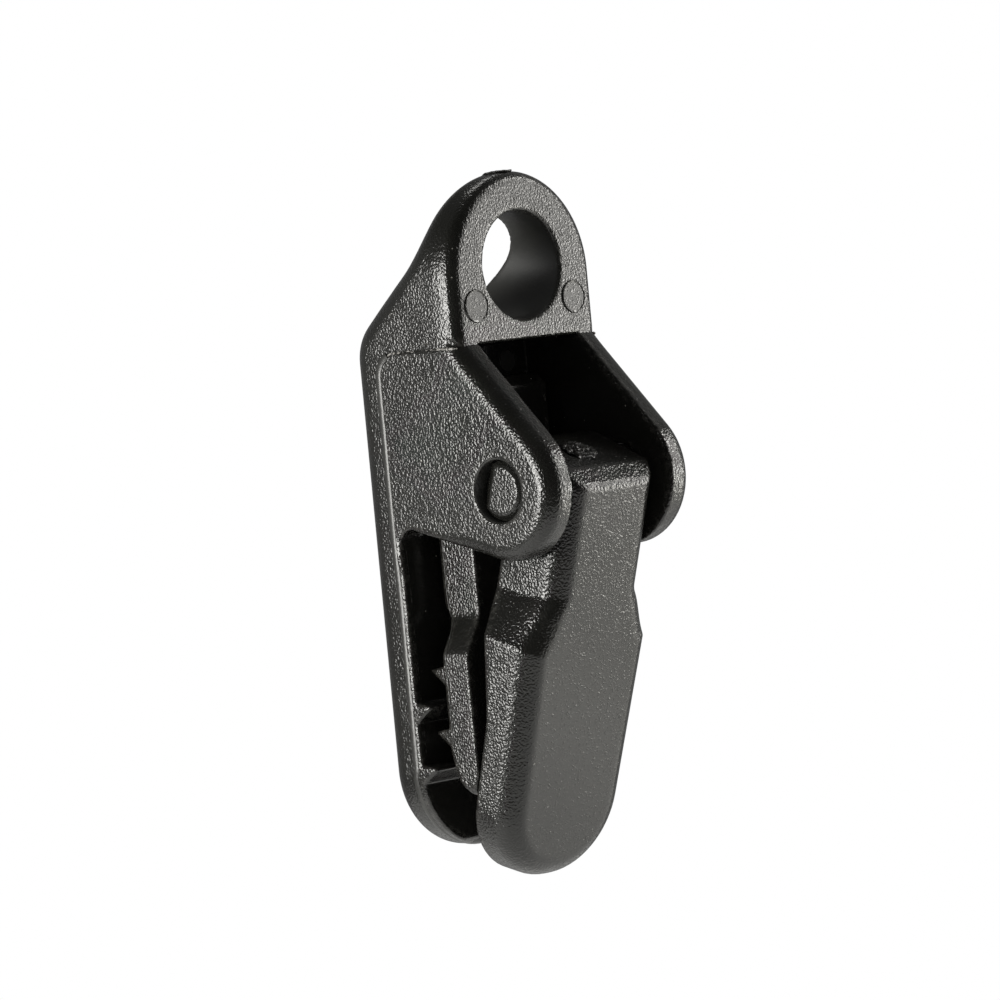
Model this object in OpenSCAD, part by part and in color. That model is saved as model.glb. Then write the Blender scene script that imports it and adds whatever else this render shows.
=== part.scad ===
// Cam-lever tarp clip in three mouldings: a body with an eyelet and a toothed back plate, a clamp
// jaw that rocks on a bead under the eyelet, and a lever whose cam presses the jaw shut.
// Sizes are in millimetres. The origin lies on the eyelet's axis, in its front face.
// X runs across the width, -Y is the lever side and +Z points to the top of the eyelet.

/* [Body] */
// Width across the two cheeks
body_w = 24.9; // [23.5:0.1:28]
// Depth from the eyelet's front face to the back of the clip
body_depth = 18.2; // [17.7:0.1:20]
// Foot of the back plate below its first tooth
foot_drop = 18.1; // [17:0.1:26]
// Thickness of the back plate
plate_t = 5.9; // [5.3:0.1:6.3]
// Corner rounding of the foot, seen from the front
foot_r = 10; // [6:0.1:11]
// Rounding along the back edges
edge_r = 3; // [1.5:0.1:3.2]
// Lead-in slope at the foot of the back plate
foot_lead = 1; // [0.5:0.1:1]
// Small rounding that every moulded edge has
sharp_r = 0.25; // [0.15:0.05:0.4]

/* [Eyelet] */
// Diameter of the eyelet hole
eyelet_d = 13; // [11:0.1:14]
// Wall of the eyelet above its hole
eyelet_rim = 4.7; // [3.5:0.1:6]
// Height from the eyelet's axis down to the lower edge of its front face
eyelet_drop = 8.8; // [8.2:0.1:9.6]
// Depth of the eyelet at its top
lug_top_t = 5.3; // [4.5:0.1:6]
// Depth of the eyelet at its axis, where the back slopes
lug_axis_t = 9.7; // [9:0.1:10.4]
// Lean of the eyelet's back at its top, from upright
lug_lean = 10; // [6:1:14]
// Lean of the slope that leads down to the back plate, from upright
slope_lean = 50; // [46:1:54]
// Hollow rounding above that slope
slope_in_r = 10; // [8:0.5:12]
// Round shoulder below that slope
slope_out_r = 6; // [4:0.5:8]
// Rounding around the eyelet's front face
face_r = 1.6; // [0.8:0.1:2]

/* [Cheeks] */
// Thickness of each cheek
cheek_t = 3.8; // [3.6:0.1:4.2]
// Lever pivot below the eyelet's axis
pivot_drop = 26; // [25.5:0.1:26.8]
// Diameter of the pivot holes
pivot_hole_d = 7.4; // [6.6:0.1:8]
// Radius of the cheeks' round ends
cheek_r = 8.4; // [7.8:0.1:9]
// Rounding around the cheeks' free edge
cheek_edge_r = 2.2; // [1.8:0.1:3.5]
// Lean of the cheeks' sloping front edge, from upright
cheek_lean = 43; // [40:1:44]
// Rise of the cheeks' lower edge towards the back plate
cheek_rise = 18; // [15:1:20]
// Rounding of the corner between cheek and back plate
window_r = 2; // [1.4:0.1:2.6]
// Width of the side panel's strip beside the back plate
strip_w = 1; // [0.6:0.1:1.4]
// Rounding of the side panel's upper corner
panel_r = 3; // [2:0.1:4]
// Height by which the side panels stand proud
panel_step = 0.15; // [0.1:0.05:0.25]
// Overlap of the side panels with the eyelet's foot
panel_lap = 0.5; // [0.3:0.1:0.8]

/* [Jaw] */
// Width of the jaw's gripping end
jaw_w = 20.8; // [19:0.2:22]
// Front of the jaw ahead of the back plate
jaw_front = 7.3; // [7.1:0.1:7.6]
// Thickness of the gripping end
jaw_t = 4.1; // [3.7:0.1:4.3]
// Thickness of the neck between the cheeks
jaw_neck_t = 5.6; // [5:0.1:5.8]
// Thickness of the jaw's top, ahead of the body's seat
jaw_top_t = 3.5; // [3:0.1:3.5]
// Top of the jaw below the eyelet's lower edge
jaw_top_drop = 4.3; // [4:0.1:4.6]
// Height of the slope on the jaw's upper front edge
jaw_top_slope = 1.3; // [0.8:0.1:1.8]
// Start of the jaw's shoulders below the eyelet's axis
jaw_neck_drop = 40.8; // [39.5:0.1:42]
// Height of the jaw's sloping shoulders
jaw_shoulder = 4.4; // [3.6:0.1:5]
// Tip of the jaw below its first tooth
jaw_tip_drop = 15.7; // [15:0.1:16.5]
// Height of the bevel at the front of the jaw's tip, on which the closed lever rests
jaw_bevel = 3; // [2.4:0.1:3.4]
// Corner rounding of the jaw's tip, seen from the front
jaw_tip_r = 1.6; // [1:0.1:7]
// Flat below the jaw's last tooth
jaw_land = 0.6; // [0.3:0.1:1]
// Radius of the bead on which the jaw rocks
bead_r = 1.7; // [1.5:0.05:1.85]
// Bead axis below the jaw's top
bead_drop = 2.5; // [2.2:0.1:2.8]
// Thickness of the web that carries the bead
bead_web = 2; // [1.6:0.1:2.2]

/* [Teeth] */
// Number of teeth on each jaw
tooth_count = 2; // [1:1:2]
// Distance from one tooth to the next
tooth_pitch = 7.4; // [7.2:0.1:7.6]
// Height of the jaw's teeth
tooth_h = 2.3; // [1.6:0.1:2.4]
// Length of a tooth at its root
tooth_l = 2.3; // [2.2:0.1:3]
// Sag of a tooth's tip below its upper root
tooth_sag = 0.4; // [0:0.05:0.6]
// Extra height of the back plate's teeth
plate_tooth_extra = 0.3; // [0:0.1:0.5]
// First tooth of the jaw below the end of its neck
jaw_tooth_drop = 5.8; // [5.2:0.1:6.4]
// Shift of the back plate's teeth below the jaw's teeth
tooth_shift = 4.2; // [3.8:0.1:4.4]

/* [Lever] */
// Pivot to the lever's front face
lever_front = 7.3; // [6.9:0.05:7.6]
// Pivot to the lever's tip, along the lever
lever_reach = 48; // [45:0.1:50]
// Width of the thumb plate at its shoulders
lever_w = 21.8; // [19:0.2:22.2]
// Width of the thumb plate above its round tip
lever_tip_w = 20; // [18:0.2:20.4]
// Thickness of the thumb plate
lever_t = 5.75; // [5:0.05:5.85]
// Thickness of the lever's neck below the cam
lever_neck_t = 9.85; // [9.3:0.05:10.2]
// Thickness of the lever at its shoulders
lever_shoulder_t = 7.85; // [7.3:0.05:8.2]
// Pivot to the lever's upper front edge
lever_top = 1.9; // [1.4:0.1:2.4]
// Rise of the slope above that edge
lever_top_rise = 1.65; // [1.2:0.05:2]
// Depth of the slope above that edge
lever_top_run = 2.3; // [1.8:0.1:2.8]
// Pivot to the lower end of the cam's back slope, along the lever
lever_cam_l = 9.3; // [8.8:0.1:10]
// Pivot to the end of the neck, along the lever
lever_neck_l = 12.6; // [12:0.1:14]
// Height of the lever's sloping shoulders
lever_shoulder = 5.4; // [4.4:0.1:6]
// Length of the thumb plate over which its back tapers
lever_taper = 10; // [8:0.5:12]
// Rounding around the thumb plate's front
lever_edge_r = 2.8; // [1.6:0.1:3.2]
// Radius of the cam
cam_r = 5.55; // [5.2:0.05:5.6]
// Shift of the cam's axis from the pivot towards the jaw
cam_shift = 3.6; // [3.2:0.05:3.65]

/* [Clearances] */
// Play between the neck of the lever or jaw and each cheek
side_gap = 1; // [0.6:0.1:1.2]
// Play around the lever's pivot stubs
pin_gap = 0.1; // [0.05:0.05:0.3]
// Depth of the stubs' ends below the cheeks' flanks
pin_recess = 0.3; // [0.2:0.05:0.8]
// Slope on the edge of the stubs' ends
pin_bevel = 0.8; // [0.3:0.05:0.9]
// Distance from the pivot to the stubs' lead-in ramp
ramp_back = 1.4; // [1:0.1:1.8]
// Angle of the stubs' lead-in ramp
ramp_angle = 40; // [30:1:45]
// Play around the jaw's bead in its seat
bead_gap = 0.1; // [0.05:0.05:0.15]
// Play between the closed lever's cam and the jaw
cam_gap = 0.45; // [0.35:0.05:0.6]
// Play between the closed lever's back and the bevel of the jaw's tip
tip_gap = 0.1; // [0.05:0.05:0.3]
// Play between the jaw's top and the body behind it
seat_gap = 0.5; // [0.4:0.05:0.6]
// Height of the lip that carries the jaw's bead
seat_lip = 2.6; // [2:0.1:3]

/* [Hidden] */
// Smoothness of round faces
$fn = 64;
// Angle between the points of a drawn curve
arc_angle = 10;
// Steps across a rounded edge
edge_steps = 4;
// Overrun of cuts past the surface they leave through
overrun = 2;
half_w = body_w / 2;
spine_half = half_w - panel_step;
channel_half = half_w - cheek_t;
neck_half = channel_half - side_gap;
arch_top = eyelet_d / 2 + eyelet_rim;
arch_z = arch_top - spine_half;
plate_front = body_depth - plate_t;
panel_back = plate_front + strip_w;
jaw_y = plate_front - jaw_front;
jaw_back = jaw_y + jaw_t;
jaw_neck_back = jaw_y + jaw_neck_t;
jaw_top_back = jaw_y + jaw_top_t;
jaw_half = jaw_w / 2;
jaw_top = -eyelet_drop - jaw_top_drop;
jaw_tooth = -jaw_neck_drop - jaw_tooth_drop;
jaw_tip = jaw_tooth - jaw_tip_drop;
jaw_lead_top = jaw_tooth - (tooth_count - 1) * tooth_pitch - tooth_l - jaw_land;
plate_tooth = jaw_tooth - tooth_shift;
plate_tooth_h = tooth_h + plate_tooth_extra;
foot = plate_tooth - foot_drop;
seat_front = jaw_top_back + seat_gap;
seat_r = bead_r + bead_gap;
bead = [seat_front + bead_r, jaw_top - bead_drop];
seat_foot = bead.y - seat_r - seat_lip;
cam_reach = cam_shift + cam_r;
pivot_forward = cam_reach + cam_gap;
pivot = [jaw_y - pivot_forward, -pivot_drop];
pin_r = pivot_hole_d / 2 - pin_gap;
pin_half = half_w - pin_recess;
// Lean of the closed lever, at which the thumb plate's back just clears the jaw's bevel
jaw_rest_way = [pivot_forward, pivot.y - jaw_tip - jaw_bevel];
jaw_rest_angle = atan2(jaw_rest_way.y, jaw_rest_way.x);
lever_lean = acos((tip_gap + lever_t - lever_front) / norm(jaw_rest_way)) - jaw_rest_angle;
// Cam axis in the side view of the upright lever
cam_axis = cam_shift * [cos(lever_lean), -sin(lever_lean)];
// Curve of the jaw's lead-in from its tip to its back, in shares of thickness and lead-in height
jaw_tip_shares = [[0.6, 0.95], [0.28, 0.68], [0.1, 0.34], [0, 0]];
// Fading of the rounding along the lower cheek edge, in shares of that edge and of its radius
cheek_fade_shares = [[0.2, 0.9], [0.4, 0.7], [0.6, 0.45], [0.8, 0.22]];

// Direction at an angle
function heading(angle) = [cos(angle), sin(angle)];

// Points of an arc; a negative radius draws it on the other side of its centre
function arc(centre, radius, from, to) =
    let (steps = ceil(abs(to - from) / arc_angle))
    [for (k = [0:steps]) centre + radius * heading(from + (to - from) * k / steps)];

// Outward normal of the edge from a to b in an outline that runs anticlockwise
function edge_normal(a, b) = [b.y - a.y, a.x - b.x] / norm(b - a);

// Move of a corner for one unit of offset of the two edges that meet there
function corner_move(m, n) = (m + n) / (1 + m * n);

// Outward move of every corner of an outline
function corner_moves(outline) = [
    for (i = [0:len(outline) - 1])
        let (before = outline[(i + len(outline) - 1) % len(outline)])
        let (after = outline[(i + 1) % len(outline)])
        corner_move(edge_normal(before, outline[i]), edge_normal(outline[i], after))
];

// One value for each point of a list
function filled(points, value) = [for (point = points) value];

// Point where the tangent from an outer point touches a circle, on the given side
function touch(point, centre, radius, side) =
    let (away = point - centre)
    centre + radius * heading(atan2(away.y, away.x) + side * acos(radius / norm(away)));

// Outline of one tooth from its upper to its lower root
function tooth(root, top, rise) = [
    [root, top],
    [root + rise, top - tooth_sag],
    [root, top - tooth_l]
];

// Outline of a row of teeth from top to bottom
function teeth(root, top, rise) = [
    for (k = [0:tooth_count - 1]) each tooth(root, top - k * tooth_pitch, rise)
];

// List in reverse order
function reversed(points) = [for (i = [len(points) - 1:-1:0]) points[i]];

// Outline at one depth of a slab, drawn in across the rounded edge at angle t
function slab_ring(outline, moves, rounds, face, t) = [
    for (i = [0:len(outline) - 1])
        let (point = outline[i] - moves[i] * rounds[i] * (1 - cos(t)))
        [face - rounds[i] * (1 - sin(t)), point.x, point.y]
];

// Outline of a form near its front face, drawn in across the rounded edge at angle t
function form_ring(outline, moves, radius, t) = [
    for (i = [0:len(outline) - 1])
        let (point = outline[i] - moves[i] * radius * (1 - cos(t)))
        [point.x, radius * (1 - sin(t)), point.y]
];

// Outline of a form near its sloping back, drawn in across the rounded edge at angle t
function form_back_ring(outline, moves, radius, t, back_table) = [
    for (i = [0:len(outline) - 1])
        let (point = outline[i] - moves[i] * radius * (1 - cos(t)))
        [point.x, lookup(point.y, back_table) - radius * (1 - sin(t)), point.y]
];

// Slab that fills an outline in the YZ plane between two depths in X, with its edges rounded at
// the far face
module rounded_slab(outline, rounds, near, far) {
    size = len(outline);
    moves = corner_moves(outline);
    rings = [
        [for (point = outline) [near, point.x, point.y]],
        for (k = [0:edge_steps]) slab_ring(outline, moves, rounds, far, 90 * k / edge_steps)
    ];
    last = len(rings) - 1;
    near_cap = [for (i = [0:size - 1]) i];
    far_cap = [for (i = [size - 1:-1:0]) last * size + i];
    sides = [
        for (j = [0:last - 1])
            for (i = [0:size - 1])
                let (next = (i + 1) % size)
                let (a = j * size + i)
                let (b = j * size + next)
                each [[a, a + size, b + size], [a, b + size, b]]
    ];
    polyhedron([for (ring = rings) each ring], concat([near_cap, far_cap], sides), convexity = 8);
}

// Solid that a side view drawn in (Y, Z) sweeps across the width
module across(width) {
    rotate([90, 0, 90])
        linear_extrude(width, center = true, convexity = 8)
            children();
}

// Solid that a front view drawn in (X, Z) sweeps from front to back
module along(front, back) {
    translate([0, back, 0])
        rotate([90, 0, 0])
            linear_extrude(back - front, convexity = 8)
                children();
}

// Round bar along X through a point of the side view
module cross_bar(y, z, radius, length) {
    translate([0, y, z])
        rotate([0, 90, 0])
            cylinder(h = length, r = radius, center = true);
}

// Solid between a front face at y = 0 and a sloping back, drawn from the right half of its front view
// in (X, Z) from bottom to top; its edges are rounded at both faces
module rounded_form(right, back_line, front_round, back_round) {
    count = len(right);
    outline = concat(right, [for (point = reversed(right)) [-point.x, point.y]]);
    size = len(outline);
    moves = corner_moves(outline);
    back_table = [for (point = back_line) [point.y, point.x]];
    rings = [
        for (k = [edge_steps:-1:0])
            form_ring(outline, moves, front_round, 90 * k / edge_steps),
        for (k = [0:edge_steps])
            form_back_ring(outline, moves, back_round, 90 * k / edge_steps, back_table)
    ];
    last = len(rings) - 1;
    front_cap = [for (i = [size - 1:-1:0]) i];
    back_cap = [
        for (k = [0:count - 2])
            [last * size + k, last * size + k + 1, last * size + size - k - 2, last * size + size - k - 1]
    ];
    sides = [
        for (j = [0:last - 1])
            for (i = [0:size - 1])
                let (next = (i + 1) % size)
                let (a = j * size + i)
                let (b = j * size + next)
                each [[a, b, b + size], [a, b + size, a + size]]
    ];
    polyhedron([for (ring = rings) each ring], concat([front_cap], back_cap, sides), convexity = 8);
}

// Back of the spine in the side view, from the foot up to the eyelet's top
function spine_back() =
    let (back_corner = [body_depth, -(body_depth - lug_axis_t) / tan(slope_lean)])
    let (lug_fall = lug_axis_t - lug_top_t - arch_top * tan(lug_lean))
    let (lug_corner_z = lug_fall / (tan(slope_lean) - tan(lug_lean)))
    let (lug_corner = [lug_axis_t - lug_corner_z * tan(slope_lean), lug_corner_z])
    let (out_centre = back_corner - slope_out_r * corner_move(heading(0), heading(slope_lean)))
    let (in_centre = lug_corner + slope_in_r * corner_move(heading(lug_lean), heading(slope_lean)))
    concat(
        [[body_depth, foot]],
        arc(out_centre, slope_out_r, 0, slope_lean),
        arc(in_centre, -slope_in_r, slope_lean, lug_lean),
        [[lug_top_t, arch_top]]
    );

// Outer form of the spine: foot, straight flanks and the eyelet's arch, with the sloping back
module spine_form() {
    back_line = spine_back();
    corner = arc([spine_half - foot_r, foot + foot_r], foot_r, -90, 0);
    heights = [for (point = back_line) if (point.y > foot + foot_r && point.y < arch_z) point.y];
    flank = [for (height = heights) [spine_half, height]];
    arch = arc([0, arch_z], spine_half, 0, 90 - arc_angle / 3);
    rounded_form(concat(corner, flank, arch), back_line, face_r, edge_r);
}

// Side view of the spine's front: eyelet, the seat for the jaw and the toothed back plate
module spine_side() {
    far = body_depth + overrun;
    low = foot - overrun;
    polygon(concat(
        [[plate_front + foot_lead + overrun, low]],
        [[far, low]],
        [[far, arch_top + overrun]],
        [[-overrun, arch_top + overrun]],
        [[-overrun, -eyelet_drop]],
        [[seat_front, -eyelet_drop]],
        [[seat_front, seat_foot]],
        [[plate_front, seat_foot]],
        teeth(plate_front, plate_tooth, -plate_tooth_h),
        [[plate_front, foot + foot_lead]]
    ));
}

// One cheek, with its free edge rounded on the outside
module cheek() {
    slant_normal = heading(180 - cheek_lean);
    rise_normal = heading(cheek_rise - 90);
    slant_foot = pivot + cheek_r * slant_normal;
    slant_rise = -eyelet_drop - slant_foot.y;
    slant_top = slant_foot + [slant_rise * tan(cheek_lean), slant_rise];
    rise_foot = pivot + cheek_r * rise_normal;
    window_y = plate_front + panel_step - window_r;
    window_centre = [window_y, rise_foot.y + (window_y - rise_foot.x) * tan(cheek_rise)
        - window_r / cos(cheek_rise)];
    rise_top = window_centre + window_r * heading(cheek_rise + 90);
    window = arc(window_centre, window_r, cheek_rise + 90, 0);
    crown = arc([panel_back - panel_r, panel_lap - eyelet_drop - panel_r], panel_r, 0, 90);
    nose = arc(pivot, cheek_r, 180 - cheek_lean, 270 + cheek_rise);
    fade = [for (share = cheek_fade_shares) rise_foot + share.x * (rise_top - rise_foot)];
    top = concat(crown, [[slant_top.x + panel_lap, panel_lap - eyelet_drop]]);
    free = concat([slant_top], nose);
    rest = concat(window, [[panel_back, window_centre.y - strip_w]]);
    rounds = concat(
        filled(top, sharp_r),
        filled(free, cheek_edge_r),
        [for (share = cheek_fade_shares) cheek_edge_r * share.y],
        filled(rest, sharp_r)
    );
    rounded_slab(concat(top, free, fade, rest), rounds, channel_half, half_w);
}

// Seat in which the jaw's bead rocks, open to the front
module bead_seat() {
    cross_bar(bead.x, bead.y, seat_r, 2 * channel_half);
    translate([-channel_half, seat_front - overrun, bead.y - seat_r])
        cube([2 * channel_half, bead_r + overrun, 2 * seat_r]);
}

// Body: eyelet, back plate and two cheeks in one moulding
module body() {
    color("#2b2b2a")
        difference() {
            union() {
                intersection() {
                    across(body_w + 2 * overrun)
                        spine_side();
                    spine_form();
                }
                cheek();
                mirror([1, 0, 0])
                    cheek();
            }
            translate([0, -overrun, 0])
                rotate([-90, 0, 0])
                    cylinder(h = body_depth + 2 * overrun, d = eyelet_d);
            cross_bar(pivot.x, pivot.y, pivot_hole_d / 2, body_w + 2 * overrun);
            bead_seat();
        }
}

// Side view of the jaw with its teeth and the web of its bead
module jaw_side() {
    lead = jaw_lead_top - jaw_tip;
    tip = [for (share = jaw_tip_shares) [jaw_back - share.x * jaw_t, jaw_lead_top - share.y * lead]];
    bulge = jaw_neck_back - jaw_back;
    polygon(concat(
        [[jaw_y, jaw_tip + jaw_bevel]],
        [[jaw_y + jaw_bevel * tan(lever_lean), jaw_tip]],
        tip,
        reversed(teeth(jaw_back, jaw_tooth, tooth_h)),
        [[jaw_back, -jaw_neck_drop - bulge]],
        [[jaw_neck_back, -jaw_neck_drop + bulge]],
        [[jaw_neck_back, seat_foot - bulge]],
        [[jaw_top_back, seat_foot - seat_gap]],
        [[jaw_top_back, bead.y - bead_web / 2]],
        [[bead.x, bead.y - bead_web / 2]],
        [[bead.x, bead.y + bead_web / 2]],
        [[jaw_top_back, bead.y + bead_web / 2]],
        [[jaw_top_back, jaw_top]],
        [[jaw_y + jaw_top_slope, jaw_top]],
        [[jaw_y, jaw_top - jaw_top_slope]]
    ));
}

// Front view of the jaw: a neck between the cheeks and a wider gripping end
module jaw_face() {
    shoulder = -jaw_neck_drop - jaw_shoulder;
    right_tip = arc([jaw_half - jaw_tip_r, jaw_tip + jaw_tip_r], jaw_tip_r, -90, 0);
    left_tip = arc([jaw_tip_r - jaw_half, jaw_tip + jaw_tip_r], jaw_tip_r, 180, 270);
    polygon(concat(
        left_tip,
        right_tip,
        [[jaw_half, shoulder]],
        [[neck_half, -jaw_neck_drop]],
        [[neck_half, jaw_top + overrun]],
        [[-neck_half, jaw_top + overrun]],
        [[-neck_half, -jaw_neck_drop]],
        [[-jaw_half, shoulder]]
    ));
}

// Clamp jaw: a toothed plate that rocks on the bead at its top
module clamp_jaw() {
    color("#313130") {
        intersection() {
            across(jaw_w + 2 * overrun)
                jaw_side();
            along(jaw_y - overrun, bead.x + overrun)
                jaw_face();
        }
        cross_bar(bead.x, bead.y, bead_r, 2 * neck_half);
    }
}

// Front view of the lever, with its rounded front edge, in the upright lever's own place
module lever_face() {
    tip_r = lever_tip_w / 2;
    shoulder_drop = lever_neck_l + lever_shoulder;
    outline = concat(
        arc([0, tip_r - lever_reach], tip_r, 180, 360),
        [[lever_w / 2, -shoulder_drop]],
        [[neck_half, -lever_neck_l]],
        [[neck_half, cam_reach]],
        [[-neck_half, cam_reach]],
        [[-neck_half, -lever_neck_l]],
        [[-lever_w / 2, -shoulder_drop]]
    );
    rotate([0, 0, -90])
        rounded_slab(outline, filled(outline, lever_edge_r), -cam_reach - overrun, lever_front);
}

// Side view of the lever with its cam, in the upright lever's own place
module lever_side() {
    front = -lever_front - overrun;
    fall = overrun * lever_top_rise / lever_top_run;
    ridge = [lever_top_run - lever_front, lever_top + lever_top_rise];
    heel = [lever_neck_t - lever_front, -lever_cam_l];
    shoulder_drop = lever_neck_l + lever_shoulder;
    polygon([
        [front, lever_top - fall],
        [front, -lever_reach - overrun],
        [lever_t - lever_front, -lever_reach - overrun],
        [lever_t - lever_front, -shoulder_drop - lever_taper],
        [lever_shoulder_t - lever_front, -shoulder_drop],
        [lever_neck_t - lever_front, -lever_neck_l],
        heel,
        touch(heel, cam_axis, cam_r, 1),
        touch(ridge, cam_axis, cam_r, -1),
        ridge
    ]);
    translate(cam_axis)
        circle(r = cam_r);
}

// Pivot stub on the +X side, with a bevelled end and a lead-in ramp at its back
module pivot_stub() {
    ramp_run = pin_r + overrun;
    difference() {
        rotate([0, 90, 0]) {
            cylinder(h = pin_half - pin_bevel, r = pin_r);
            translate([0, 0, pin_half - pin_bevel])
                cylinder(h = pin_bevel, r1 = pin_r, r2 = pin_r - pin_bevel);
        }
        linear_extrude(2 * ramp_run, center = true)
            polygon([
                [pin_half, ramp_back],
                [pin_half + overrun, ramp_back],
                [pin_half + overrun, ramp_back + ramp_run],
                [pin_half - ramp_run * tan(ramp_angle), ramp_back + ramp_run]
            ]);
    }
}

// Lever: thumb plate, cam and two pivot stubs in one moulding
module lever() {
    color("#383837")
        translate([0, pivot.x, pivot.y])
            rotate([lever_lean, 0, 0]) {
                intersection() {
                    lever_face();
                    across(lever_w + 2 * overrun)
                        lever_side();
                }
                pivot_stub();
                mirror([1, 0, 0])
                    pivot_stub();
            }
}

// Piece to draw

body();
clamp_jaw();
lever();
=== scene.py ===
"""Looks of a black moulded tarp clip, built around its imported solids.

Each of the three mouldings is drawn as a distance field in millimetres, in the frame of the solids: X across the
width, -Y to the lever side, +Z to the top of the eyelet. The field gives the soft edges that a mould leaves, and is
turned into a closed mesh in metres. Geometry Nodes add what the mould itself leaves behind: ejector marks, parting
lines, gate stubs and flash.
"""

import logging
import math
from dataclasses import dataclass, field
from enum import Enum

import bpy
import numpy as np
from mathutils import Matrix, Vector


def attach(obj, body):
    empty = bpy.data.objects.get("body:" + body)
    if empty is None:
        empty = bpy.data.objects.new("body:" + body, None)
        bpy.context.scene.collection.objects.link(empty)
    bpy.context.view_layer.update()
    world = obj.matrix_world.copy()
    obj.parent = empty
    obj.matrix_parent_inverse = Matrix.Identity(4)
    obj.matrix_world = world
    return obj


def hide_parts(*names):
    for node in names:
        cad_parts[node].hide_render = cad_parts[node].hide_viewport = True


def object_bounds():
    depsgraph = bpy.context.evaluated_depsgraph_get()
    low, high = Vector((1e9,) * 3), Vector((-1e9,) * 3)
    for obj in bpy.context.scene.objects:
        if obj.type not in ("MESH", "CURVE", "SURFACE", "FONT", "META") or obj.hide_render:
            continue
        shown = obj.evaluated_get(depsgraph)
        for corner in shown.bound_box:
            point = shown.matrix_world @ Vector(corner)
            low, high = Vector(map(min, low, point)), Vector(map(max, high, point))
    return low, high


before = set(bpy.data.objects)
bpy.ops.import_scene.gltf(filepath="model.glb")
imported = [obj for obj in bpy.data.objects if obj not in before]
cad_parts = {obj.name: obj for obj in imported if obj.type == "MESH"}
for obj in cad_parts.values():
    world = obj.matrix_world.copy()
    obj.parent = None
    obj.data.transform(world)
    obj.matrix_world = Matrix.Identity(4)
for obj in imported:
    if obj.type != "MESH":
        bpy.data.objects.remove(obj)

LOG = logging.getLogger("tarp_clip")
MM = 0.001
CAD_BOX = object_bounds()
SIDES = (-1, 1)
# Outlines that stay open to one side end this far away, or this far past the piece, in millimetres
FAR = 60
PAST = 30
# Roundings of a tooth's upper root, point and lower root in millimetres
TOOTH_ROUNDS = (0.15, 0.12, 0.25)
# What two mouldings share: depth and height of the lever's pivot and of the jaw's bead, half the width of what fits
# between the cheeks, and the lean of the closed lever in degrees
PIVOT = (-4.6, -26.0)
BEAD = (10.7, -15.6)
NECK_HALF = 7.65
LEAN = 18.48

Array = np.ndarray
Point = tuple[float, float, float]
Corner = tuple[float, float, float]
Spot = tuple[Point, Point]
Pair = tuple[float, float]
Tree = bpy.types.NodeTree
Socket = bpy.types.NodeSocket


# Small tools

def to_linear(colour: str) -> tuple[float, float, float, float]:
    """Turn an sRGB hex colour into linear light.

    Args:
        colour: Six hex digits, with or without a leading hash.

    Returns:
        Red, green, blue and full alpha.
    """
    digits = colour.lstrip("#")
    levels = [int(digits[i:i + 2], 16) / 255 for i in (0, 2, 4)]
    red, green, blue = [v / 12.92 if v <= 0.04045 else ((v + 0.055) / 1.055) ** 2.4 for v in levels]
    return red, green, blue, 1.0


def add_node(
    tree: Tree,
    kind: str,
    settings: dict[str, object] | None = None,
    inputs: dict[str | int, object] | None = None,
) -> bpy.types.Node:
    """Add a node with its settings, input values and links.

    Args:
        tree: Node tree that gets the node.
        kind: Blender's name of the node's type.
        settings: Properties of the node.
        inputs: Value, socket to link from, or list of such sockets, for each input by name or place.

    Returns:
        The new node.
    """
    node = tree.nodes.new(kind)
    for name, value in (settings or {}).items():
        setattr(node, name, value)
    for name, value in (inputs or {}).items():
        socket = node.inputs[name]
        sources = value if isinstance(value, list) else [value]
        if isinstance(sources[0], bpy.types.NodeSocket):
            for source in sources:
                tree.links.new(source, socket)
        else:
            socket.default_value = value
    return node


def wire(
    tree: Tree,
    kind: str,
    inputs: dict[str | int, object] | None = None,
    output: str | int = 0,
    **settings: object,
) -> Socket:
    """Add a node and pick one of its outputs.

    Args:
        tree: Node tree that gets the node.
        kind: Blender's name of the node's type.
        inputs: Values and links of its inputs.
        output: Name or place of the output.
        settings: Properties of the node.

    Returns:
        The output.
    """
    return add_node(tree, kind, settings, inputs).outputs[output]


def calc(tree: Tree, operation: str, *values: object) -> Socket:
    """Result of one step of arithmetic on sockets and numbers."""
    return wire(tree, "ShaderNodeMath", dict(enumerate(values)), operation=operation)


def remap(tree: Tree, value: Socket, start: Pair, end: Pair, curve: str = "LINEAR") -> Socket:
    """Value carried over from one range to another."""
    ends = {"From Min": start[0], "From Max": start[1], "To Min": end[0], "To Max": end[1]}
    return wire(tree, "ShaderNodeMapRange", {"Value": value, **ends}, "Result", interpolation_type=curve)


def cloud(tree: Tree, place: Socket, size_mm: float, detail: float, roughness: float) -> Socket:
    """Noise with lumps of a real size."""
    look = {"Scale": 1 / (size_mm * MM), "Detail": detail, "Roughness": roughness}
    return wire(tree, "ShaderNodeTexNoise", {"Vector": place, **look}, "Fac")


def ray_kinds(tree: Tree) -> tuple[Socket, Socket]:
    """Whether a ray was mirrored or let through, and whether it comes straight from the camera."""
    path = add_node(tree, "ShaderNodeLightPath").outputs
    return calc(tree, "MAXIMUM", path["Is Glossy Ray"], path["Is Transmission Ray"]), path["Is Camera Ray"]


def empty_tree(owner: bpy.types.Material | bpy.types.World) -> Tree:
    """Cleared node tree of a material or world."""
    owner.use_nodes = True
    owner.node_tree.nodes.clear()
    return owner.node_tree


def add_object(name: str, data: bpy.types.ID) -> bpy.types.Object:
    """Add an object with its data to the scene."""
    thing = bpy.data.objects.new(name, data)
    bpy.context.scene.collection.objects.link(thing)
    return thing


def heading(angle: float) -> Array:
    """Direction at an angle in degrees, in a plane."""
    return np.array([math.cos(math.radians(angle)), math.sin(math.radians(angle))])


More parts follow.
